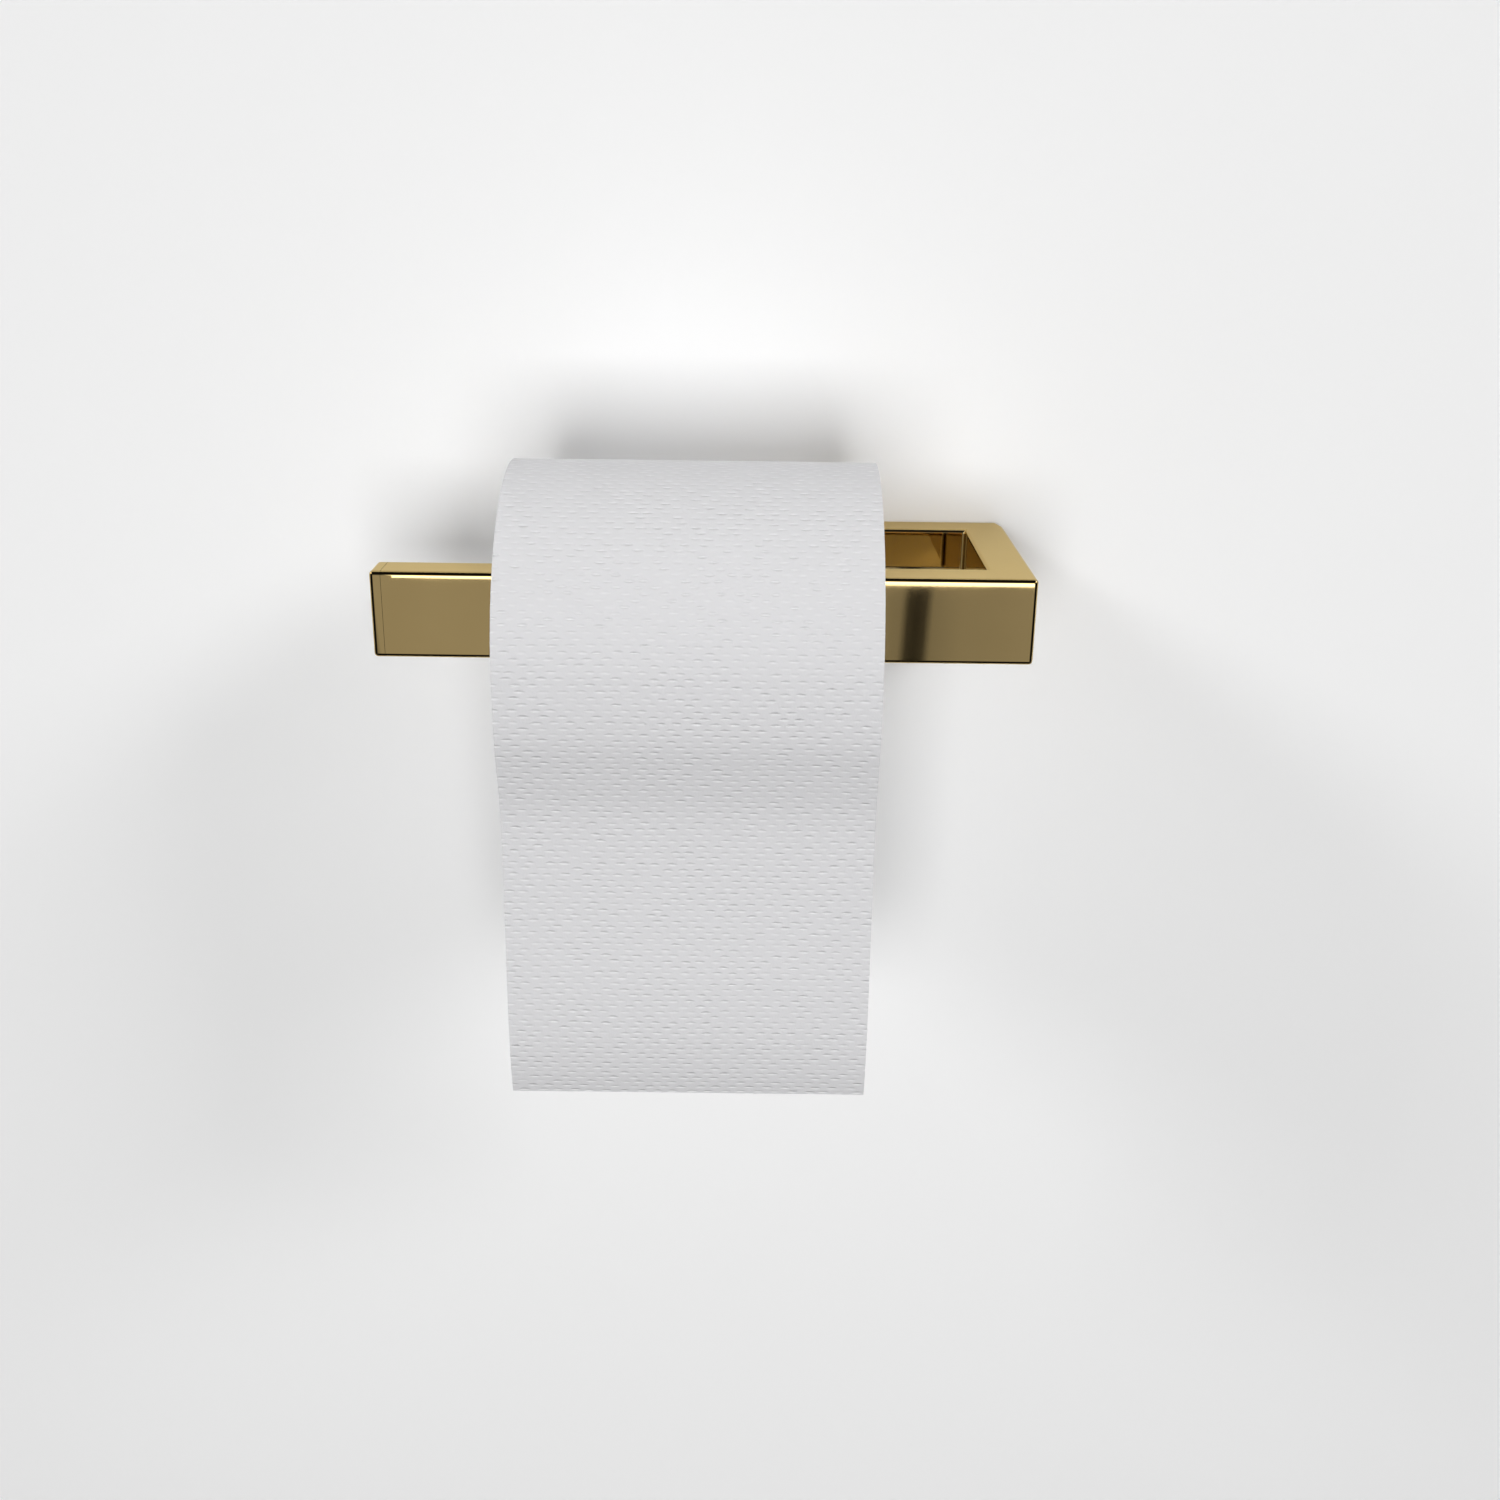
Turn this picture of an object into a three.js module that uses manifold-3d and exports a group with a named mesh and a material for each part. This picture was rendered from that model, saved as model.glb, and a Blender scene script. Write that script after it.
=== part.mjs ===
// Open-ended toilet paper holder: a squared C-shaped frame of brass tube and bar on a
// concealed wall bracket, with a roll of paper hanging on its front bar.
// Millimetres. The origin is on the wall, at the middle of the bracket's rear face.
// +X runs along the bars from the free end to the side arm, +Y into the wall, +Z up.

import * as THREE from 'three';
import { mergeVertices } from 'three/addons/utils/BufferGeometryUtils.js';
import Module from 'manifold-3d';

const wasm = await Module();
wasm.setup();

// Frame
const barHeight = 25;        // height of every bar
const barDepth = 12;         // front to back of the front bar and the wall rail
const armWidth = 13;         // side to side of the arm
const frontLength = 187;     // outside length of the front bar
const projection = 75;       // wall to the front face
const railLength = 87;       // the wall rail's own length, free end to arm
const tubeWall = 2;          // wall of the brass tube
const easeDepth = 6;         // the arm's rear outer corner is dressed back this far
const easeWidth = 1.5;

// Cap on the free end
const capThickness = 3;
const capSeam = 0.3;         // hairline between cap and tube
const spigotLength = 9;
const spigotClearance = 0.3;

// Concealed wall fixing
const railWall = 3;          // wall of the rail round its rear pocket
const pocketDepth = 9.5;
const bracketLength = 76;
const bracketHeight = 18;
const bracketDepth = 8.5;
const bracketBase = 2.5;     // thickness of the plate on the wall
const bracketFlange = 2;
const wallScrewX = 22;       // each side of the middle
const grubScrewX = 32;
const fixingGap = 0.3;       // clearance between stacked fixing pieces
const screwHoleRadius = 2.6;
const screwRadius = 2.1;
const screwLength = 40;      // under the head
const screwHeadRadius = 4;
const screwHeadHeight = 2.8;
const screwHeadRim = 1.26;   // straight part of the head, under its dome
const screwHeadTop = 2.4;    // radius of the head's flat top
const recessArm = 2.2;       // cross recess, middle to the end of an arm
const recessHalfWidth = 0.55;
const recessFloor = 0.98;    // metal left under the recess
const washerThickness = 1;
const washerRadius = 4.8;
const plugRadius = 4;
const plugBore = 2.4;
const plugLength = 35;
const plugBarbs = 5;
const plugBarbStep = 0.7;
const plugDepth = 2.5;       // plug mouth set below the wall surface
const grubRadius = 2;
const grubLength = 3;
const grubSocketRadius = 1.1;

// Roll
const paperWidth = 101;
const rollFromFreeEnd = 40;  // free end of the bar to the roll's near side
const rollRadius = 50;       // outside of the loose outer layer
const coreRadius = 21;       // inside of the cardboard core
const coreWall = 1.2;
const hangGap = 0.3;         // between the core and the bar's top edges
const layerGap = 0.3;        // between the core, the wound paper and the outer layer

// Loose outer sheet
const sheetThickness = 0.6;
// its two ends on the roll, in degrees from the roll's rear over its top to its front
const wrapStart = -150;      // underneath, where the turn begins
const wrapEnd = 176;         // at the front, where the sheet leaves the roll
const sheetDrop = 124;       // roll centre to the sheet's lower edge
const sheetSetback = 6;      // hanging part, behind the roll's front
const swayEnd = 52;          // roll centre down to where the sheet hangs straight
const swayEase = 19;         // how softly it bends above that
const sheetCurl = 1.8;       // the lower edge curls back towards the wall
const curlLength = 20;

const armInnerX = railLength / 2;
const armOuterX = armInnerX + armWidth;
const freeEndX = armOuterX - frontLength;
const frontY = -projection;
const barMiddleY = frontY + barDepth / 2;
const rollX = freeEndX + rollFromFreeEnd + paperWidth / 2;
// the core hangs with its inside resting on both top edges of the bar
const rollZ = barHeight / 2 - Math.sqrt((coreRadius - hangGap) ** 2 - (barDepth / 2) ** 2);

const brass = new THREE.MeshStandardMaterial({ color: 0xc9a66b, roughness: 0.28, metalness: 1 });
const steel = new THREE.MeshStandardMaterial({ color: 0xb4b7ba, roughness: 0.35, metalness: 1 });
const nylon = new THREE.MeshStandardMaterial({ color: 0x9a9fa3, roughness: 0.7, metalness: 0 });
const card = new THREE.MeshStandardMaterial({ color: 0xb08c62, roughness: 0.9, metalness: 0 });
const paper = new THREE.MeshStandardMaterial({ color: 0xf2f1ee, roughness: 0.95, metalness: 0 });

// three.js geometry to an exact solid, for cutting
function toSolid(geometry) {
  const bare = geometry.clone();
  bare.deleteAttribute('normal');
  bare.deleteAttribute('uv');
  const merged = mergeVertices(bare, 1e-4);
  return new wasm.Manifold(new wasm.Mesh({
    numProp: 3,
    vertProperties: new Float32Array(merged.attributes.position.array),
    triVerts: new Uint32Array(merged.index.array),
  }));
}

function toGeometry(solid) {
  const mesh = solid.getMesh();
  const geometry = new THREE.BufferGeometry();
  geometry.setAttribute('position', new THREE.BufferAttribute(mesh.vertProperties, 3));
  geometry.setIndex(new THREE.BufferAttribute(mesh.triVerts, 1));
  geometry.computeVertexNormals();
  return geometry;
}

// block between two opposite corners
function block([x0, y0, z0], [x1, y1, z1]) {
  const geometry = new THREE.BoxGeometry(x1 - x0, y1 - y0, z1 - z0);
  return geometry.translate((x0 + x1) / 2, (y0 + y1) / 2, (z0 + z1) / 2);
}

// plan outline in X and Y, raised to the bar's height about Z = 0
function barFromPlan(corners) {
  const shape = new THREE.Shape(corners.map(([x, y]) => new THREE.Vector2(x, y)));
  const geometry = new THREE.ExtrudeGeometry(shape, { depth: barHeight, bevelEnabled: false });
  return geometry.translate(0, 0, -barHeight / 2);
}

// profile of [radius, distance] points turned round the Y axis; the last point joins the first
function turned(profile, segments) {
  const points = [...profile, profile[0]].map(([r, y]) => new THREE.Vector2(r, y));
  return new THREE.LatheGeometry(points, segments);
}

function named(name, geometry, material) {
  const mesh = new THREE.Mesh(geometry, material);
  mesh.name = name;
  return mesh;
}

// Front bar: tube, open at the free end, mitred to the arm
function frontBar() {
  const left = freeEndX + capThickness + capSeam;
  const tube = toSolid(barFromPlan([
    [left, frontY],
    [armOuterX, frontY],
    [armInnerX, frontY + barDepth],
    [left, frontY + barDepth],
  ]));
  const inside = toSolid(block(
    [left - 1, frontY + tubeWall, -barHeight / 2 + tubeWall],
    [armOuterX + 1, frontY + barDepth - tubeWall, barHeight / 2 - tubeWall],
  ));
  return named('front_bar', toGeometry(tube.subtract(inside)), brass);
}

// Side arm: tube from the mitre to the wall, its outer rear corner dressed back
function sideArm() {
  const tube = toSolid(barFromPlan([
    [armOuterX, frontY],
    [armOuterX, -easeDepth],
    [armOuterX - easeWidth, 0],
    [armInnerX, 0],
    [armInnerX, frontY + barDepth],
  ]));
  const inside = toSolid(block(
    [armInnerX + tubeWall, frontY - 1, -barHeight / 2 + tubeWall],
    [armOuterX - tubeWall, 1, barHeight / 2 - tubeWall],
  ));
  return named('side_arm', toGeometry(tube.subtract(inside)), brass);
}

// Wall rail: bar with a pocket in its rear for the bracket, and two tapped holes beneath
function wallRail() {
  const half = railLength / 2;
  const bar = toSolid(block([-half, -barDepth, -barHeight / 2], [half, 0, barHeight / 2]));
  const pocket = toSolid(block(
    [-half + railWall, -pocketDepth, -barHeight / 2 + railWall],
    [half - railWall, 1, barHeight / 2 - railWall],
  ));
  let rail = bar.subtract(pocket);
  for (const side of [-1, 1]) {
    const drill = new THREE.CylinderGeometry(grubRadius + 0.1, grubRadius + 0.1, railWall + 2, 24);
    drill.rotateX(Math.PI / 2);
    drill.translate(side * grubScrewX, -bracketDepth / 2, -barHeight / 2 + railWall / 2);
    rail = rail.subtract(toSolid(drill));
  }
  return named('wall_rail', toGeometry(rail), brass);
}

// Cap: end plate with a spigot that plugs the tube
function endCap() {
  const plate = toSolid(block(
    [freeEndX, frontY, -barHeight / 2],
    [freeEndX + capThickness, frontY + barDepth, barHeight / 2],
  ));
  const inset = tubeWall + spigotClearance;
  const spigot = toSolid(block(
    [freeEndX + capThickness / 2, frontY + inset, -barHeight / 2 + inset],
    [freeEndX + capThickness + spigotLength, frontY + barDepth - inset, barHeight / 2 - inset],
  ));
  return named('end_cap', toGeometry(plate.add(spigot)), brass);
}

// Bracket: channel screwed to the wall, open to the front, inside the rail's pocket
function wallBracket() {
  const halfLength = bracketLength / 2;
  const halfHeight = bracketHeight / 2;
  const outside = toSolid(block(
    [-halfLength, -bracketDepth, -halfHeight],
    [halfLength, 0, halfHeight],
  ));
  const channel = toSolid(block(
    [-halfLength - 1, -bracketDepth - 1, -halfHeight + bracketFlange],
    [halfLength + 1, -bracketBase, halfHeight - bracketFlange],
  ));
  let bracket = outside.subtract(channel);
  for (const side of [-1, 1]) {
    const drill = new THREE.CylinderGeometry(screwHoleRadius, screwHoleRadius, 3 * bracketBase, 32);
    drill.translate(side * wallScrewX, -bracketBase / 2, 0);
    bracket = bracket.subtract(toSolid(drill));
  }
  return named('wall_bracket', toGeometry(bracket), steel);
}

// Washer under a wall screw's head; its rear face is at Y = 0 of the mesh
function washer(name) {
  const profile = [
    [screwHoleRadius, -washerThickness],
    [washerRadius, -washerThickness],
    [washerRadius, 0],
    [screwHoleRadius, 0],
  ];
  return named(name, turned(profile, 32), steel);
}

// Wall screw with a cross recess; the head's underside is at Y = 0 of the mesh
function wallScrew(name) {
  const points = [
    [0, -screwHeadHeight],
    [screwHeadTop, -screwHeadHeight],
    [screwHeadRadius, -screwHeadRim],
    [screwHeadRadius, 0],
    [screwRadius, 0],
    [screwRadius, screwLength - 3 * screwRadius],
    [0, screwLength],
  ].map(([r, y]) => new THREE.Vector2(r, y));
  const body = toSolid(new THREE.LatheGeometry(points, 32));
  const above = -screwHeadHeight - 1;
  const across = toSolid(block(
    [-recessArm, above, -recessHalfWidth],
    [recessArm, -recessFloor, recessHalfWidth],
  ));
  const upright = toSolid(block(
    [-recessHalfWidth, above, -recessArm],
    [recessHalfWidth, -recessFloor, recessArm],
  ));
  return named(name, toGeometry(body.subtract(across).subtract(upright)), steel);
}

// Wall plug: barbed sleeve round the screw, its mouth at Y = 0 of the mesh
function wallPlug(name) {
  const pitch = plugLength / plugBarbs;
  const outside = [];
  for (let i = 0; i < plugBarbs; i++) {
    outside.push([plugRadius, i * pitch]);
    outside.push([plugRadius - plugBarbStep, (i + 1) * pitch]);
  }
  const profile = [[plugBore, 0], ...outside, [plugBore, plugLength]];
  return named(name, turned(profile, 24), nylon);
}

// Grub screw, upright under the rail, its point against the bracket; base at Z = 0 of the mesh
function grubScrew(name) {
  const body = new THREE.CylinderGeometry(grubRadius, grubRadius, grubLength, 24);
  const socket = new THREE.CylinderGeometry(grubSocketRadius, grubSocketRadius, grubLength, 6);
  socket.translate(0, -grubLength / 2, 0);
  const screw = toGeometry(toSolid(body).subtract(toSolid(socket)));
  screw.rotateX(Math.PI / 2);
  screw.translate(0, 0, grubLength / 2);
  return named(name, screw, steel);
}

// ring round the roll's axis, which runs along X
function ring(name, inner, outer, segments, material) {
  const half = paperWidth / 2;
  const profile = [[inner, -half], [outer, -half], [outer, half], [inner, half]];
  const geometry = turned(profile, segments);
  geometry.rotateZ(-Math.PI / 2);
  return named(name, geometry, material);
}

// Outer layer of paper: round the roll from below its rear, over the top, and down the front.
// Its section is drawn in the roll's own frame: forward of the axis, and up.
function looseSheet() {
  const middle = rollRadius - sheetThickness / 2;
  const leave = THREE.MathUtils.degToRad(180 - wrapEnd);
  const start = THREE.MathUtils.degToRad(180 - wrapStart);
  const wrap = new THREE.EllipseCurve(0, 0, middle, middle, start, leave, true);
  const from = wrap.getPoint(1);
  const along = wrap.getTangent(1);
  const hangX = middle - sheetSetback;
  const straightEnd = -sheetDrop + curlLength;
  const sway = new THREE.CubicBezierCurve(
    from,
    from.clone().addScaledVector(along, swayEase),
    new THREE.Vector2(hangX, -swayEnd + swayEase),
    new THREE.Vector2(hangX, -swayEnd),
  );
  const hang = new THREE.LineCurve(
    new THREE.Vector2(hangX, -swayEnd),
    new THREE.Vector2(hangX, straightEnd),
  );
  const curl = new THREE.QuadraticBezierCurve(
    new THREE.Vector2(hangX, straightEnd),
    new THREE.Vector2(hangX, straightEnd - curlLength / 2),
    new THREE.Vector2(hangX - sheetCurl, -sheetDrop),
  );
  const stretches = [[wrap, 84], [sway, 14], [hang, 6], [curl, 6]];

  const outer = [];
  const inner = [];
  for (const [curve, steps] of stretches) {
    for (let i = outer.length ? 1 : 0; i <= steps; i++) {
      const point = curve.getPoint(i / steps);
      const tangent = curve.getTangent(i / steps);
      const side = new THREE.Vector2(-tangent.y, tangent.x).multiplyScalar(sheetThickness / 2);
      outer.push(point.clone().add(side));
      inner.push(point.clone().sub(side));
    }
  }
  const section = new THREE.Shape([...outer, ...inner.reverse()]);
  const geometry = new THREE.ExtrudeGeometry(section, { depth: paperWidth, bevelEnabled: false });
  // section X (forward) to -Y, section Y (up) to +Z, extrusion to -X
  geometry.translate(0, 0, -paperWidth / 2);
  geometry.applyMatrix4(new THREE.Matrix4().makeBasis(
    new THREE.Vector3(0, -1, 0),
    new THREE.Vector3(0, 0, 1),
    new THREE.Vector3(-1, 0, 0),
  ));
  return named('loose_sheet', geometry, paper);
}

// Everything that stays on the wall
const frame = new THREE.Group();
frame.add(frontBar(), sideArm(), wallRail(), endCap(), wallBracket());
for (const [number, side] of [[1, -1], [2, 1]]) {
  const disc = washer(`washer_${number}`);
  disc.position.set(side * wallScrewX, -bracketBase - fixingGap, 0);
  const screw = wallScrew(`wall_screw_${number}`);
  screw.position.set(side * wallScrewX, disc.position.y - washerThickness - fixingGap, 0);
  const plug = wallPlug(`wall_plug_${number}`);
  plug.position.set(side * wallScrewX, plugDepth, 0);
  const grub = grubScrew(`grub_screw_${number}`);
  grub.position.set(
    side * grubScrewX,
    -bracketDepth / 2,
    -bracketHeight / 2 - fixingGap - grubLength,
  );
  frame.add(disc, screw, plug, grub);
}

// The roll and its loose sheet, about the roll's axis
const coreOuter = coreRadius + coreWall;
const woundOuter = rollRadius - sheetThickness - layerGap;
const roll = new THREE.Group();
roll.position.set(rollX, barMiddleY, rollZ);
roll.add(
  ring('core_tube', coreRadius, coreOuter, 72, card),
  ring('paper_roll', coreOuter + layerGap, woundOuter, 96, paper),
  looseSheet(),
);

const holder = new THREE.Group();
holder.add(frame, roll);

export default holder;
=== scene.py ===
import math

import bmesh
import bpy
from mathutils import Matrix, Vector


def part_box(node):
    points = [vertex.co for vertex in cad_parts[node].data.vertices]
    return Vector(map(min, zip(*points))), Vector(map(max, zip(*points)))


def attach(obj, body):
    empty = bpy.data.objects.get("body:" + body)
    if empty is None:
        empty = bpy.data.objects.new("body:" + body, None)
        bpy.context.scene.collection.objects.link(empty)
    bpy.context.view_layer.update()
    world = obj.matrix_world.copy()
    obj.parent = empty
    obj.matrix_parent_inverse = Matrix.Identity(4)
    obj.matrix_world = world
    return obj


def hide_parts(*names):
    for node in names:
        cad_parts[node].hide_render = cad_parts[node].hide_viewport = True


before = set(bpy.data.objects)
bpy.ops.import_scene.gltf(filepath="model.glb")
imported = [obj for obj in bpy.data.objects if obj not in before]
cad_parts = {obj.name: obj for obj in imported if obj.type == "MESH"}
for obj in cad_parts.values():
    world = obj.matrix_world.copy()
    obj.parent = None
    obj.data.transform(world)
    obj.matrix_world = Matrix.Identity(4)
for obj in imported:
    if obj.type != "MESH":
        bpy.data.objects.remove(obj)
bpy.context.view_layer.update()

# Metres, in the holder's own frame: the origin is on the wall, +X runs along the bars
# to the side arm, +Y goes into the wall and +Z is up.
barLow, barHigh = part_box("front_bar")
armLow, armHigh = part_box("side_arm")
railLow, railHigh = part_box("wall_rail")
capLow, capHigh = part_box("end_cap")
coreLow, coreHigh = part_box("core_tube")
woundLow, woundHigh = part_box("paper_roll")
sheetLow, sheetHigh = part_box("loose_sheet")
rollAxis = (coreLow + coreHigh) / 2

near = 1e-5               # places closer than this are the same
facing = 0.9              # a face looks along an axis when its normal's share of it is above this
sharpAngle = 0.3          # radians between the two faces at a worked edge
nearlyStraight = 0.9998   # cosine, for a normal about a degree from an axis


def startPiece(name, scale=None):
    # name the new primitive, and put its place, turn and scale in its mesh
    piece = bpy.context.object
    piece.name = name
    piece.data.name = name
    if scale:
        piece.scale = scale
    bpy.ops.object.transform_apply(location=True, rotation=True, scale=True)
    return piece


def clearSelection():
    if bpy.context.object and bpy.context.object.mode != "OBJECT":
        bpy.ops.object.mode_set(mode="OBJECT")
    bpy.ops.object.select_all(action="DESELECT")


def choose(piece):
    clearSelection()
    piece.select_set(True)
    bpy.context.view_layer.objects.active = piece


def openEdit(piece):
    choose(piece)
    bpy.ops.object.mode_set(mode="EDIT")


def closeEdit():
    bpy.ops.object.mode_set(mode="OBJECT")


def addBlock(name, low, high):
    clearSelection()
    low, high = Vector(low), Vector(high)
    bpy.ops.mesh.primitive_cube_add(size=1, location=(low + high) / 2, scale=high - low)
    return startPiece(name)


def addTube(name, length, outer, hole, sides):
    # a tube round the roll's axis, left open in edit mode
    clearSelection()
    bpy.ops.mesh.primitive_cylinder_add(
        vertices=sides,
        radius=outer,
        depth=length,
        end_fill_type="NGON",
        location=rollAxis,
        rotation=(0, math.pi / 2, 0),
    )
    piece = startPiece(name)
    openEdit(piece)
    pickFaces(piece, lambda n, c: abs(n.x) > facing)
    bpy.ops.mesh.inset(thickness=outer - hole)
    bpy.ops.mesh.bridge_edge_loops()
    return piece


def addScreen(name, place, size, roll=0.0):
    # an upright board that only reflections see
    clearSelection()
    bpy.ops.mesh.primitive_plane_add(size=1, location=place, rotation=(-math.pi / 2, roll, 0))
    screen = startPiece(name, scale=(*size, 1))
    screen.visible_camera = False
    screen.visible_diffuse = False
    screen.visible_shadow = False
    return screen


def pickFaces(piece, test):
    bpy.ops.mesh.select_mode(type="FACE")
    bpy.ops.mesh.select_all(action="DESELECT")
    mesh = bmesh.from_edit_mesh(piece.data)
    for face in mesh.faces:
        face.select_set(bool(test(face.normal, face.calc_center_median())))
    bmesh.update_edit_mesh(piece.data)


def pickEdges(piece, test):
    bpy.ops.mesh.select_mode(type="EDGE")
    bpy.ops.mesh.select_all(action="DESELECT")
    mesh = bmesh.from_edit_mesh(piece.data)
    for edge in mesh.edges:
        edge.select_set(bool(test(edge, (edge.verts[0].co + edge.verts[1].co) / 2)))
    bmesh.update_edit_mesh(piece.data)


def sharp(edge):
    return len(edge.link_faces) == 2 and edge.calc_face_angle() > sharpAngle


def extrude(x=0.0, y=0.0, z=0.0):
    bpy.ops.mesh.extrude_region_move(TRANSFORM_OT_translate={"value": (x, y, z)})


def roundEdges(width, segments=4):
    bpy.ops.mesh.bevel(offset=width, segments=segments, profile=0.5, affect="EDGES")


def smoothByAngle(piece, degrees=35):
    choose(piece)
    bpy.ops.object.shade_smooth_by_angle(angle=math.radians(degrees))


def applyModifier(piece, kind, **settings):
    choose(piece)
    modifier = piece.modifiers.new(kind.lower(), kind)
    for key, value in settings.items():
        setattr(modifier, key, value)
    bpy.ops.object.modifier_apply(modifier=modifier.name)


def evenNormals(piece):
    # broad flats keep their own direction, and only the rounded edges turn
    applyModifier(piece, "WEIGHTED_NORMAL", keep_sharp=True, weight=100)
    turned = []
    for corner in piece.data.corner_normals:
        straight = Vector([round(part) for part in corner.vector])
        nearly = straight.length == 1 and corner.vector.dot(straight) > nearlyStraight
        turned.append(straight if nearly else corner.vector.copy())
    piece.data.normals_split_custom_set(turned)


def giveMaterial(piece, material):
    piece.data.materials.clear()
    piece.data.materials.append(material)


def finishPiece(piece, body, slot, material, *nodes):
    giveMaterial(piece, material)
    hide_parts(*nodes)
    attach(piece, body)


class Shading:
    # the node tree of a material or a world: one call makes a node and its links
    def __init__(self, owner, empty=False):
        self.material = bpy.data.materials.new(owner) if isinstance(owner, str) else owner
        self.material.use_nodes = True
        self.nodes = self.material.node_tree.nodes
        self.links = self.material.node_tree.links
        if empty:
            self.nodes.clear()
        self.surface = self.nodes.get("Principled BSDF")

    def add(self, kind, inputs=None, **settings):
        node = self.nodes.new("ShaderNode" + kind)
        for key, value in settings.items():
            setattr(node, key, value)
        for key, value in (inputs or {}).items():
            if isinstance(value, bpy.types.NodeSocket):
                self.links.new(value, node.inputs[key])
            else:
                node.inputs[key].default_value = value
        return node

    def maths(self, operation, first, second=None, third=None):
        given = {k: v for k, v in enumerate((first, second, third)) if v is not None}
        return self.add("Math", given, operation=operation).outputs[0]

    def mapped(self, value, start, end=(0.0, 1.0), **settings):
        # the range from start[0] to start[1] becomes the range from end[0] to end[1]
        ends = {"From Min": start[0], "From Max": start[1], "To Min": end[0], "To Max": end[1]}
        return self.add("MapRange", {"Value": value, **ends}, **settings).outputs["Result"]

    def noise(self, place, scale, detail):
        given = {"Vector": place, "Scale": scale, "Detail": detail}
        return self.add("TexNoise", given).outputs["Fac"]

    def objectPlace(self):
        return self.add("TexCoord").outputs["Object"]

    def split(self, vector):
        return self.add("SeparateXYZ", {"Vector": vector}).outputs

    def fromRollAxis(self, place):
        centred = self.add("Mapping", {"Vector": place, "Location": tuple(-rollAxis)})
        return self.split(centred.outputs["Vector"])

    def ramp(self, value, stops):
        node = self.add("ValToRGB", {"Fac": value})
        elements = node.color_ramp.elements
        while len(elements) < len(stops):
            elements.new(0.5)
        for element, (position, colour) in zip(elements, stops):
            element.position = position
            element.color = (*colour, 1)
        return node.outputs["Color"]

    def into(self, socket, value):
        self.links.new(value, self.surface.inputs[socket])

    def bump(self, height, strength, depth):
        given = {"Height": height, "Strength": strength, "Distance": depth}
        self.into("Normal", self.add("Bump", given).outputs["Normal"])

    def plain(self, **values):
        for key, value in values.items():
            self.surface.inputs[key.replace("_", " ")].default_value = value

    def mixInto(self, output, share, first, second):
        # the whole surface or world, mixed from two shaders
        mix = self.add("MixShader", {"Fac": share, 1: first.outputs[0], 2: second.outputs[0]})
        self.add(output, {"Surface": mix.outputs[0]})


camera = {
    "place": (-0.0251, -0.5152, 0.1233),
    "down": 20.25,     # degrees below the horizon
    "turn": 0.21,      # degrees to the right
    "tilt": 0.80,      # degrees, the horizon falls to the right
    "lens": 38.89,     # millimetres, as the sensor
    "sensor": 36,
    "nearest": 0.01,   # metres
}


def makeCamera():
    data = bpy.data.cameras.new("camera")
    data.sensor_width = camera["sensor"]
    data.lens = camera["lens"]
    data.clip_start = camera["nearest"]
    eye = bpy.data.objects.new("camera", data)
    bpy.context.scene.collection.objects.link(eye)
    turn = Matrix.Rotation(-math.radians(camera["turn"]), 4, "Z")
    down = Matrix.Rotation(math.radians(90 - camera["down"]), 4, "X")
    tilt = Matrix.Rotation(math.radians(camera["tilt"]), 4, "Z")
    eye.matrix_world = Matrix.Translation(camera["place"]) @ turn @ down @ tilt
    bpy.context.scene.camera = eye
    print("camera placed")


backdrop = {
    "size": 8.0,
    "gap": 0.0002,      # behind the rail
    "window": 0.0015,   # how far the opening behind the rail stays inside the rail's outline
    "white": (1.03, 1.03, 1.03, 1),
}


def makeWall():
    # only there from the front, and open where the rail covers it
    clearSelection()
    bpy.ops.mesh.primitive_plane_add(
        size=backdrop["size"],
        location=(0, backdrop["gap"], 0),
        rotation=(math.pi / 2, 0, 0),
    )
    wall = startPiece("backdropWall")
    openEdit(wall)
    edge = backdrop["window"]
    cuts = [
        ((railLow.x + edge, 0, 0), (1, 0, 0)),
        ((railHigh.x - edge, 0, 0), (1, 0, 0)),
        ((0, 0, railLow.z + edge), (0, 0, 1)),
        ((0, 0, railHigh.z - edge), (0, 0, 1)),
    ]
    for place, way in cuts:
        bpy.ops.mesh.select_all(action="SELECT")
        bpy.ops.mesh.bisect(plane_co=place, plane_no=way)
    middle = (railLow + railHigh) / 2
    pickFaces(wall, lambda n, c: (c - middle).xz.length < edge)
    bpy.ops.mesh.delete(type="FACE")
    closeEdit()
    s = Shading("wallPaint", empty=True)
    white = s.add("BsdfDiffuse", {"Color": backdrop["white"]})
    clear = s.add("BsdfTransparent")
    rear = s.add("NewGeometry").outputs["Backfacing"]
    s.mixInto("OutputMaterial", rear, white, clear)
    giveMaterial(wall, s.material)
    print("wall made")


# A card that glows just behind the front box and stands in for it in reflections; its glow is painted
# brightest along its lower edge.
card = {
    "place": (-0.0615, -1.64, -0.0800),
    "roll": 0.13,   # degrees
    "size": (0.827, 0.62),
    "rim": 5.0,             # brightness along the lower edge
    "middle": 0.60,         # and above the fade
    "fade": [0.10, 0.26],   # above the lower edge
}


def makeCard():
    place = Vector(card["place"])
    screen = addScreen("reflectionCard", place, card["size"], math.radians(card["roll"]))
    s = Shading("cardGlow", empty=True)
    foot = place.z - card["size"][1] / 2
    fade = [foot + height for height in card["fade"]]
    shine = s.mapped(s.split(s.objectPlace())["Z"], fade, (card["rim"], card["middle"]))
    s.add("OutputMaterial", {"Surface": s.add("Emission", {"Strength": shine}).outputs[0]})
    giveMaterial(screen, s.material)
    print("card made")


# A slim dark stand in front of the holder, seen only in reflections, with a painted soft shade to both
# sides of it.
stand = {
    "top": (0.1975, -1.66, -0.375),
    "foot": (0.184, -1.66, -0.725),
    "colour": (0.02, 0.02, 0.02, 1),
    # past the stand's own width the cover is a painted soft shade, fading out
    "reach": [0.0, 0.011, 0.021, 0.060, 0.30],   # from the stand's middle line
    "cover": [0.93, 0.88, 0.40, 0.25, 0.0],      # how much it hides there
}


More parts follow.
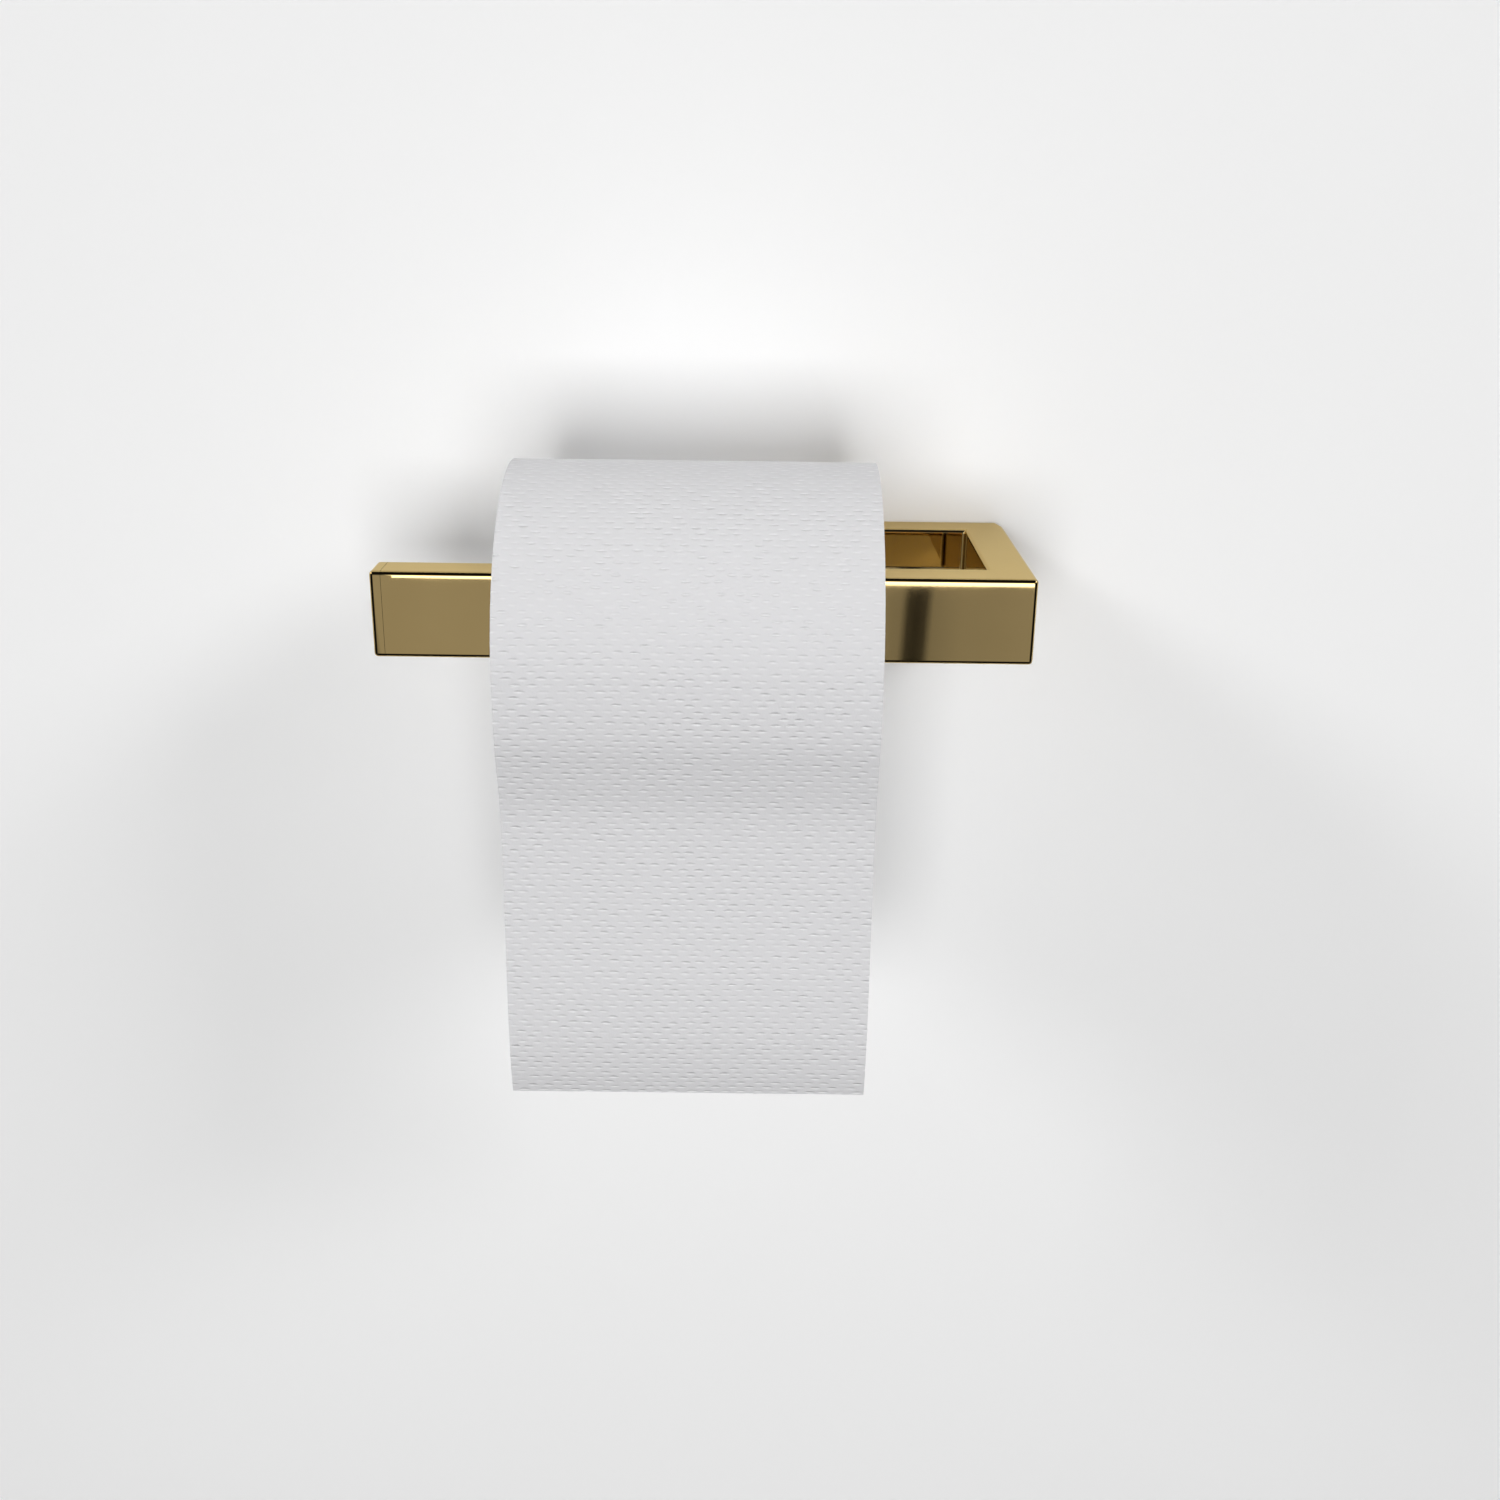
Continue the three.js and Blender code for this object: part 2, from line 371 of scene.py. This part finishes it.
def makeStand():
    top, foot = Vector(stand["top"]), Vector(stand["foot"])
    farthest = stand["reach"][-1]
    screen = addScreen("lampStand", (top + foot) / 2, (2 * farthest, top.z - foot.z))
    s = Shading("standShade", empty=True)
    spot = s.split(s.objectPlace())
    lean = (top.x - foot.x) / (top.z - foot.z)
    upright = s.maths("MULTIPLY_ADD", spot["Z"], -lean, spot["X"])
    fromLine = s.maths("SUBTRACT", upright, top.x - top.z * lean)
    share = s.maths("DIVIDE", s.maths("ABSOLUTE", fromLine), farthest)
    stops = []
    for distance, cover in zip(stand["reach"], stand["cover"]):
        stops.append((distance / farthest, (cover, cover, cover)))
    clear = s.add("BsdfTransparent")
    dark = s.add("BsdfDiffuse", {"Color": stand["colour"]})
    s.mixInto("OutputMaterial", s.ramp(share, stops), clear, dark)
    giveMaterial(screen, s.material)
    print("stand made")


softboxes = {
    "frontBox": {
        "place": (-0.0615, -1.63, -0.0797),
        "aim": (-0.0615, 0, -0.0797),
        "size": (0.827, 0.62),
        "power": 14.5,
    },
    "rightBox": {
        "place": (2.26, -1.51, 1.72),
        "aim": rollAxis,
        "size": (1.30, 0.75),
        "power": 34.0,
    },
    "leftBox": {
        "place": (-2.58, -0.94, 1.74),
        "aim": rollAxis,
        "size": (1.20, 0.75),
        "power": 38.0,
    },
}


def makeLights():
    for name, box in softboxes.items():
        data = bpy.data.lights.new(name, "AREA")
        data.shape = "RECTANGLE"
        data.size, data.size_y = box["size"]
        data.energy = box["power"]
        lamp = bpy.data.objects.new(name, data)
        bpy.context.scene.collection.objects.link(lamp)
        place = Vector(box["place"])
        turn = (Vector(box["aim"]) - place).to_track_quat("-Z", "Y").to_matrix().to_4x4()
        lamp.matrix_world = Matrix.Translation(place) @ turn
        lamp.visible_camera = False
        lamp.visible_glossy = name != "frontBox"   # the card behind it is what shines in the gilt
    print("lights set")


# A dark room with some lit parts, for reflections. Directions are unit vectors in the
# holder's frame, and each pair of numbers is where a part starts and where it is full.
surroundings = {
    "dark": 0.010,
    "front": [0.895, 0.925],   # ahead of the holder
    "frontHeights": [-1.0, -0.40, -0.31, -0.22, -0.10, 0.2, 1.0],
    "frontGreys": [0.03, 0.05, 0.52, 0.52, 0.20, 0.03, 0.02],
    "side": [0.70, 0.95],
    "sideHeight": [-0.17, -0.06],
    "sideGrey": 0.20,
    "lowSide": [0.30, 0.60],
    "lowHeight": [-0.33, -0.45],
    "lowGrey": 0.06,
    "behind": [0.0, 0.3],
    "behindGrey": 0.50,
    "plain": (0.86, 0.86, 0.86, 1),   # what the camera itself sees beyond the backdrop
}


def makeRoom():
    room = surroundings
    world = bpy.data.worlds.new("surroundings")
    bpy.context.scene.world = world
    s = Shading(world, empty=True)
    way = s.split(s.add("TexCoord").outputs["Generated"])
    aside = s.maths("ABSOLUTE", way["X"])
    ahead = s.maths("MULTIPLY", way["Y"], -1.0)
    height = s.maths("MULTIPLY_ADD", way["Z"], 0.5, 0.5)   # from 0 straight down to 1 straight up
    stops = []
    for level, grey in zip(room["frontHeights"], room["frontGreys"]):
        stops.append(((level + 1) / 2, (grey, grey, grey)))
    sideLevel = s.mapped(way["Z"], room["sideHeight"], (0.0, room["sideGrey"]))
    lowLevel = s.mapped(way["Z"], room["lowHeight"], (0.0, room["lowGrey"]))
    lit = [
        s.maths("MULTIPLY", s.ramp(height, stops), s.mapped(ahead, room["front"])),
        s.maths("MULTIPLY", sideLevel, s.mapped(aside, room["side"])),
        s.maths("MULTIPLY", lowLevel, s.mapped(aside, room["lowSide"])),
        s.mapped(way["Y"], room["behind"], (0.0, room["behindGrey"])),
    ]
    grey = room["dark"]
    for part in lit:
        grey = s.maths("ADD", part, grey)
    glow = s.add("Background", {"Color": grey})
    plain = s.add("Background", {"Color": room["plain"]})
    seen = s.add("LightPath").outputs["Is Camera Ray"]
    s.mixInto("OutputWorld", seen, glow, plain)
    print("room made")


gilt = {
    "colour": (0.545, 0.402, 0.180),
    "deep": (0.515, 0.376, 0.165),
    "clouds": (38.0, 3.0),               # scale and detail of a noise, here and below
    "cloudEnds": [0.3, 0.7],
    "roughness": (0.010, 0.024),
    "grainLines": (14.0, 14.0, 900.0),   # fine lines along the bars
    "grainDetail": 2.0,
    "grain": 0.0015,
    "grainDepth": 0.0001,
    "edgeTint": (0.93, 0.85, 0.62, 1),   # keeps the gold deep where it is seen at a slant
}


def giltMaterial():
    s = Shading("giltBrass")
    place = s.objectPlace()
    cloud = s.noise(place, *gilt["clouds"])
    stretched = s.add("Mapping", {"Vector": place, "Scale": gilt["grainLines"]}).outputs["Vector"]
    lines = s.noise(stretched, 1.0, gilt["grainDetail"])
    start, end = gilt["cloudEnds"]
    s.into("Base Color", s.ramp(cloud, [(start, gilt["deep"]), (end, gilt["colour"])]))
    s.into("Roughness", s.mapped(cloud, gilt["cloudEnds"], gilt["roughness"]))
    s.bump(lines, gilt["grain"], gilt["grainDepth"])
    s.plain(Metallic=1.0, Specular_Tint=gilt["edgeTint"])
    return s.material


frameShape = {
    "edgeRound": 0.00115,   # worked edges of the bars and the cap
    "tubeWall": 0.002,
    "railWall": 0.003,
    "pocketDepth": 0.0095,
    "tubeOpening": 0.03,
    "easeDepth": 0.006,     # the arm's outer face slopes in over this length at the wall
    "easeWidth": 0.0015,    # and by this much
    "screwHole": 0.0021,
    "screwHoleSides": 48,
    "drillLength": 0.008,
}


def makeFrame(material):
    piece = addBlock("giltFrame", barLow, (armLow.x, barHigh.y, barHigh.z))
    openEdit(piece)
    pickFaces(piece, lambda n, c: n.x > facing)
    extrude(x=armHigh.x - armLow.x)
    pickFaces(piece, lambda n, c: n.y > facing and c.x > armLow.x)
    extrude(y=railLow.y - barHigh.y)
    extrude(y=-frameShape["easeDepth"] - railLow.y)
    extrude(y=frameShape["easeDepth"])
    pickFaces(piece, lambda n, c: n.x < -facing and c.y > railLow.y)
    extrude(x=railLow.x - railHigh.x)
    pickEdges(piece, lambda e, c: abs(c.x - armHigh.x) < near and abs(c.y) < near)
    bpy.ops.transform.translate(value=(-frameShape["easeWidth"], 0, 0))
    # round the worked edges, but not the ones at the cap's hairline
    pickEdges(piece, lambda e, c: sharp(e) and abs(c.x - barLow.x) > near)
    roundEdges(frameShape["edgeRound"])
    # tube mouth under the cap, tube mouth on the wall, and the rail's pocket
    pickFaces(piece, lambda n, c: n.x < -facing and abs(c.x - barLow.x) < near)
    bpy.ops.mesh.inset(thickness=frameShape["tubeWall"])
    extrude(x=frameShape["tubeOpening"])
    pickFaces(piece, lambda n, c: n.y > facing and abs(c.y) < near and c.x > armLow.x)
    bpy.ops.mesh.inset(thickness=frameShape["tubeWall"])
    extrude(y=-frameShape["tubeOpening"])
    pickFaces(piece, lambda n, c: n.y > facing and abs(c.y) < near and c.x < armLow.x)
    bpy.ops.mesh.inset(thickness=frameShape["railWall"])
    extrude(y=-frameShape["pocketDepth"])
    closeEdit()
    for node in ("grub_screw_1", "grub_screw_2"):
        low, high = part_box(node)
        middle = (low + high) / 2
        clearSelection()
        bpy.ops.mesh.primitive_cylinder_add(
            vertices=frameShape["screwHoleSides"],
            radius=frameShape["screwHole"],
            depth=frameShape["drillLength"],
            location=(middle.x, middle.y, low.z),
        )
        drill = startPiece("drill")
        applyModifier(piece, "BOOLEAN", object=drill, operation="DIFFERENCE", solver="EXACT")
        bpy.data.objects.remove(drill)
    smoothByAngle(piece)
    evenNormals(piece)
    finishPiece(piece, "holder", "brass", material, "front_bar", "side_arm", "wall_rail")
    print("frame made")


capShape = {
    "hairline": 0.0001,   # between the cap and the bar
    "spigotInset": 0.0023,
}


def makeEndCap(material):
    seam = barLow.x - capShape["hairline"]
    piece = addBlock("endCap", capLow, (seam, capHigh.y, capHigh.z))
    openEdit(piece)
    pickEdges(piece, lambda e, c: sharp(e) and c.x < seam - near)
    roundEdges(frameShape["edgeRound"])
    pickFaces(piece, lambda n, c: n.x > facing)
    bpy.ops.mesh.inset(thickness=capShape["spigotInset"])
    extrude(x=capHigh.x - seam)
    closeEdit()
    smoothByAngle(piece)
    evenNormals(piece)
    finishPiece(piece, "holder", "brass", material, "end_cap")
    print("end cap made")


steel = {
    "dark": (0.52, 0.53, 0.55),
    "light": (0.66, 0.67, 0.68),
    "clouds": (260.0, 4.0),
    "cloudEnds": [0.3, 0.7],
    "roughness": (0.28, 0.46),
    "bump": 0.15,
    "bumpDepth": 0.0002,
}

nylon = {
    "dark": (0.30, 0.32, 0.34),
    "light": (0.35, 0.37, 0.39),
    "clouds": (900.0, 2.0),
    "cloudEnds": [0.3, 0.7],
    "roughness": 0.55,
    "bump": 0.2,
    "bumpDepth": 0.0002,
}


def clouded(s, finish):
    # a colour and a relief that follow one noise
    cloud = s.noise(s.objectPlace(), *finish["clouds"])
    start, end = finish["cloudEnds"]
    s.into("Base Color", s.ramp(cloud, [(start, finish["dark"]), (end, finish["light"])]))
    s.bump(cloud, finish["bump"], finish["bumpDepth"])
    return cloud


def steelMaterial():
    s = Shading("zincedSteel")
    cloud = clouded(s, steel)
    s.into("Roughness", s.mapped(cloud, (0.0, 1.0), steel["roughness"]))
    s.plain(Metallic=1.0)
    return s.material


def nylonMaterial():
    s = Shading("greyNylon")
    clouded(s, nylon)
    s.plain(Roughness=nylon["roughness"])
    return s.material


def finishFixings():
    steelFinish, nylonFinish = steelMaterial(), nylonMaterial()
    for name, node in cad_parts.items():
        if name.startswith(("wall_bracket", "washer", "wall_screw", "grub_screw")):
            giveMaterial(node, steelFinish)
        elif name.startswith("wall_plug"):
            giveMaterial(node, nylonFinish)
    print("fixings finished")


core = {
    "hole": 0.021,   # inside radius
    "sides": 128,
    "colour": (0.42, 0.31, 0.20),
    "dark": (0.33, 0.24, 0.15),
    "seam": (0.20, 0.14, 0.09, 1),
    "turnsPitch": 0.062,   # lead of the wound strips, along the tube
    "seamShare": 0.02,     # of a strip's width
    "fibres": (420.0, 5.0),
    "fibreEnds": [0.3, 0.7],
    "roughness": 0.9,
    "shine": 0.25,
    "bump": 0.5,
    "bumpDepth": 0.0004,
}


def cardMaterial():
    s = Shading("cardboard")
    place = s.objectPlace()
    parts = s.fromRollAxis(place)
    turn = s.maths("DIVIDE", s.maths("ARCTAN2", parts["Z"], parts["Y"]), 2 * math.pi)
    along = s.maths("DIVIDE", parts["X"], core["turnsPitch"])
    strip = s.maths("FRACT", s.maths("ADD", turn, along))
    seam = s.maths("LESS_THAN", strip, core["seamShare"])
    fibres = s.noise(place, *core["fibres"])
    start, end = core["fibreEnds"]
    base = s.ramp(fibres, [(start, core["dark"]), (end, core["colour"])])
    # 0, 6 and 7 are the share and the two colours of a colour mix
    shade = s.add("Mix", {0: seam, 6: base, 7: core["seam"]}, data_type="RGBA")
    s.into("Base Color", shade.outputs[2])
    s.bump(s.maths("SUBTRACT", fibres, seam), core["bump"], core["bumpDepth"])
    s.plain(Roughness=core["roughness"], Specular_IOR_Level=core["shine"])
    return s.material


def makeCore(material):
    outer = (coreHigh.z - coreLow.z) / 2
    piece = addTube("cardCore", coreHigh.x - coreLow.x, outer, core["hole"], core["sides"])
    closeEdit()
    smoothByAngle(piece)
    finishPiece(piece, "roll", "card", material, "core_tube")
    print("core made")


wound = {
    "white": (0.86, 0.86, 0.865),
    "shade": (0.70, 0.70, 0.71),
    "shadeEnds": [0.25, 0.72],
    "layers": 0.0008,       # one visible turn of paper on the roll's end
    "layerShare": 0.09,     # how strongly the turns show
    "wobble": (45.0, 2.0),
    "wobbleWidth": 0.0034,
    "fray": (700.0, 3.0),
    "roughness": 0.95,
    "shine": 0.2,
    "bump": 0.6,
    "bumpDepth": 0.0003,
    "slack": 0.00012,       # clear of the core and of the loose outer turn
    "sides": 192,
    "edgeRound": 0.0005,
    "rim": 0.9,             # edges past this share of the radius are the outer ones
}


def woundMaterial():
    s = Shading("woundPaper")
    place = s.objectPlace()
    parts = s.fromRollAxis(place)
    flat = s.add("CombineXYZ", {"Y": parts["Y"], "Z": parts["Z"]}).outputs["Vector"]
    radius = s.add("VectorMath", {0: flat}, operation="LENGTH").outputs["Value"]
    wobble = s.noise(place, *wound["wobble"])
    shifted = s.maths("MULTIPLY_ADD", wobble, wound["wobbleWidth"], radius)
    layer = s.maths("SINE", s.maths("MULTIPLY", shifted, 2 * math.pi / wound["layers"]))
    fray = s.noise(place, *wound["fray"])
    depth = s.maths("MULTIPLY_ADD", layer, wound["layerShare"], fray)
    start, end = wound["shadeEnds"]
    s.into("Base Color", s.ramp(depth, [(start, wound["shade"]), (end, wound["white"])]))
    s.bump(depth, wound["bump"], wound["bumpDepth"])
    s.plain(Roughness=wound["roughness"], Specular_IOR_Level=wound["shine"])
    return s.material


def makeWound(material):
    outer = sheetHigh.z - rollAxis.z - sheet["thickness"] - wound["slack"]
    hole = (coreHigh.z - coreLow.z) / 2 + wound["slack"]
    piece = addTube("woundRoll", woundHigh.x - woundLow.x, outer, hole, wound["sides"])
    rim = wound["rim"] * outer
    pickEdges(piece, lambda e, c: sharp(e) and (c - rollAxis).yz.length > rim)
    roundEdges(wound["edgeRound"], segments=3)
    closeEdit()
    smoothByAngle(piece)
    finishPiece(piece, "roll", "paper", material, "paper_roll")
    print("wound paper made")


sheet = {
    "white": (0.748, 0.745, 0.758),
    # painted highlight: the dimples are painted this lighter colour, standing in for the light on their
    # edges
    "dimpleHighlight": (0.850, 0.847, 0.861),   # in the dimples
    "roughness": 0.92,
    "shine": 0.2,
    "thickness": 0.00028,
    # degrees round the roll, counted from its rear over the top
    "start": -150,       # underneath
    "leave": 176,        # at the front, where it starts to hang
    "turnStep": 2,
    # how far the hanging end is below the roll's axis, and how far behind the roll's front
    "hang": [
        (0.0052, 0.0001),
        (0.0152, 0.0010),
        (0.0252, 0.0034),
        (0.0352, 0.0056),
        (0.0452, 0.0063),
        (0.0602, 0.0062),
        (0.0752, 0.0057),
        (0.0902, 0.0050),
        (0.1052, 0.0051),
        (0.1160, 0.0062),
        (0.1240, 0.0079),
    ],
    "hangSteps": 12,     # between two of those points
    "step": 0.0012,      # between the mesh's own points
    "smooth": 50,        # degrees, past which an edge stays sharp
    "dimpleAcross": 0.0048,
    "dimpleAlong": 0.00172,
    "dimpleWidth": 0.0038,
    "dimpleHeight": 0.0012,
    "dimpleDepth": 0.00025,
    "dimplePress": (0.35, 1.3),        # the faintest and the strongest, of the depth
    "dimpleDrift": (0.0030, 0.0012),   # slow wander of the rows, across and along
    "driftScale": 30.0,
    "dimpleJitter": (0.30, 0.16),      # of a cell, each dimple on its own
    "fibres": (1600.0, 3.0),
    "fibreHeight": 0.20,   # of a dimple's depth
}


def smoothPath(points, steps):
    # Catmull-Rom through the points
    path = []
    last = len(points) - 1
    for i in range(last):
        a, b, c, d = (points[min(max(k, 0), last)] for k in (i - 1, i, i + 1, i + 2))
        for k in range(steps):
            t = k / steps
            path.append(0.5 * (
                2 * b + (c - a) * t
                + (2 * a - 5 * b + 4 * c - d) * t * t
                + (3 * b - a - 3 * c + d) * t ** 3
            ))
    return path + [points[-1]]


def evenly(path, step):
    # the same line with points a step apart
    lengths = [0.0]
    for a, b in zip(path, path[1:]):
        lengths.append(lengths[-1] + (b - a).length)
    count = round(lengths[-1] / step)
    out, k = [], 0
    for i in range(count + 1):
        at = lengths[-1] * i / count
        while k < len(path) - 2 and lengths[k + 1] < at:
            k += 1
        share = (at - lengths[k]) / (lengths[k + 1] - lengths[k])
        out.append(path[k].lerp(path[k + 1], share))
    return out, lengths[-1]


def sheetPath():
    # points as (forward of the roll's axis, up)
    radius = (sheetHigh.z - rollAxis.z) - sheet["thickness"] / 2
    turn = []
    for degrees in range(sheet["start"], sheet["leave"] + 1, sheet["turnStep"]):
        a = math.radians(180 - degrees)
        turn.append(Vector((radius * math.cos(a), radius * math.sin(a))))
    hang = [Vector((radius - back, -drop)) for drop, back in sheet["hang"]]
    hangPath = smoothPath([turn[-1]] + hang, sheet["hangSteps"])
    return evenly(turn[:-1] + hangPath, sheet["step"])


def dimples(s, place):
    # one oval dimple to a cell, with every other row half a cell aside
    flat = s.split(s.add("UVMap", uv_map="sheetSize").outputs["UV"])   # metres: across, along
    drift = s.add("TexNoise", {"Vector": place, "Scale": sheet["driftScale"], "Detail": 1.0})
    nudge = s.add("SeparateColor", {"Color": drift.outputs["Color"]}).outputs
    driftX, driftY = sheet["dimpleDrift"]
    across = s.maths("MULTIPLY_ADD", nudge["Red"], driftX, flat["X"])
    along = s.maths("MULTIPLY_ADD", nudge["Green"], driftY, flat["Y"])
    row = s.maths("DIVIDE", along, sheet["dimpleAlong"])
    odd = s.maths("MULTIPLY", s.maths("FLOORED_MODULO", s.maths("FLOOR", row), 2.0), 0.5)
    column = s.maths("ADD", s.maths("DIVIDE", across, sheet["dimpleAcross"]), odd)
    # chance moves each dimple from its cell's middle, and makes some fainter
    cell = s.add("CombineXYZ", {"X": s.maths("FLOOR", column), "Y": s.maths("FLOOR", row)})
    chance = s.add("TexWhiteNoise", {"Vector": cell.outputs["Vector"]}, noise_dimensions="2D")
    jitter = s.add("SeparateColor", {"Color": chance.outputs["Color"]}).outputs
    jitterX, jitterY = sheet["dimpleJitter"]
    shiftX = s.maths("MULTIPLY_ADD", jitter["Red"], jitterX, -0.5 - jitterX / 2)
    shiftY = s.maths("MULTIPLY_ADD", jitter["Green"], jitterY, -0.5 - jitterY / 2)
    fromX = s.maths("ADD", s.maths("FRACT", column), shiftX)
    fromY = s.maths("ADD", s.maths("FRACT", row), shiftY)
    shareX = s.maths("MULTIPLY", fromX, 2 * sheet["dimpleAcross"] / sheet["dimpleWidth"])
    shareY = s.maths("MULTIPLY", fromY, 2 * sheet["dimpleAlong"] / sheet["dimpleHeight"])
    squares = s.maths("ADD", s.maths("POWER", shareX, 2.0), s.maths("POWER", shareY, 2.0))
    reach = s.maths("SQRT", squares)
    dimple = s.mapped(reach, (0.0, 1.0), (-1.0, 0.0), interpolation_type="SMOOTHSTEP")
    press = s.mapped(jitter["Blue"], (0.0, 1.0), sheet["dimplePress"])
    return s.maths("MULTIPLY", dimple, press)


def sheetMaterial():
    s = Shading("embossedPaper")
    place = s.objectPlace()
    relief = dimples(s, place)
    height = s.maths("MULTIPLY_ADD", s.noise(place, *sheet["fibres"]), sheet["fibreHeight"], relief)
    s.bump(height, 1.0, sheet["dimpleDepth"])
    # the dimples are painted lighter than the flat paper, a painted highlight
    stops = [(0.0, sheet["dimpleHighlight"]), (1.0, sheet["white"])]
    s.into("Base Color", s.ramp(s.maths("ADD", relief, 1.0), stops))
    s.plain(Roughness=sheet["roughness"], Specular_IOR_Level=sheet["shine"])
    return s.material


def makeSheet(material):
    path, length = sheetPath()
    width = sheetHigh.x - sheetLow.x
    columns = round(width / sheet["step"])
    rows = len(path) - 1
    clearSelection()
    bpy.ops.mesh.primitive_grid_add(x_subdivisions=columns, y_subdivisions=rows, size=1, calc_uvs=False)
    piece = startPiece("looseSheet")
    sizes = piece.data.uv_layers.new(name="sheetSize")
    spots = {}
    for vertex in piece.data.vertices:
        u = vertex.co.x + 0.5
        v = round((vertex.co.y + 0.5) * rows)
        spots[vertex.index] = (u * width, v * length / rows)
        forward, up = path[v]
        vertex.co = (sheetLow.x + u * width, rollAxis.y - forward, rollAxis.z + up)
    for loop in piece.data.loops:
        sizes.data[loop.index].uv = spots[loop.vertex_index]
    piece.data.update()
    applyModifier(piece, "SOLIDIFY", thickness=sheet["thickness"], offset=0.0)
    smoothByAngle(piece, sheet["smooth"])
    finishPiece(piece, "sheet", "paper", material, "loose_sheet")
    print("sheet made", round(length, 4), "long")


makeCamera()
makeWall()
makeCard()
makeStand()
makeLights()
makeRoom()
giltFinish = giltMaterial()
makeFrame(giltFinish)
makeEndCap(giltFinish)
finishFixings()
makeCore(cardMaterial())
makeWound(woundMaterial())
makeSheet(sheetMaterial())

bpy.context.scene.view_settings.view_transform = "Standard"
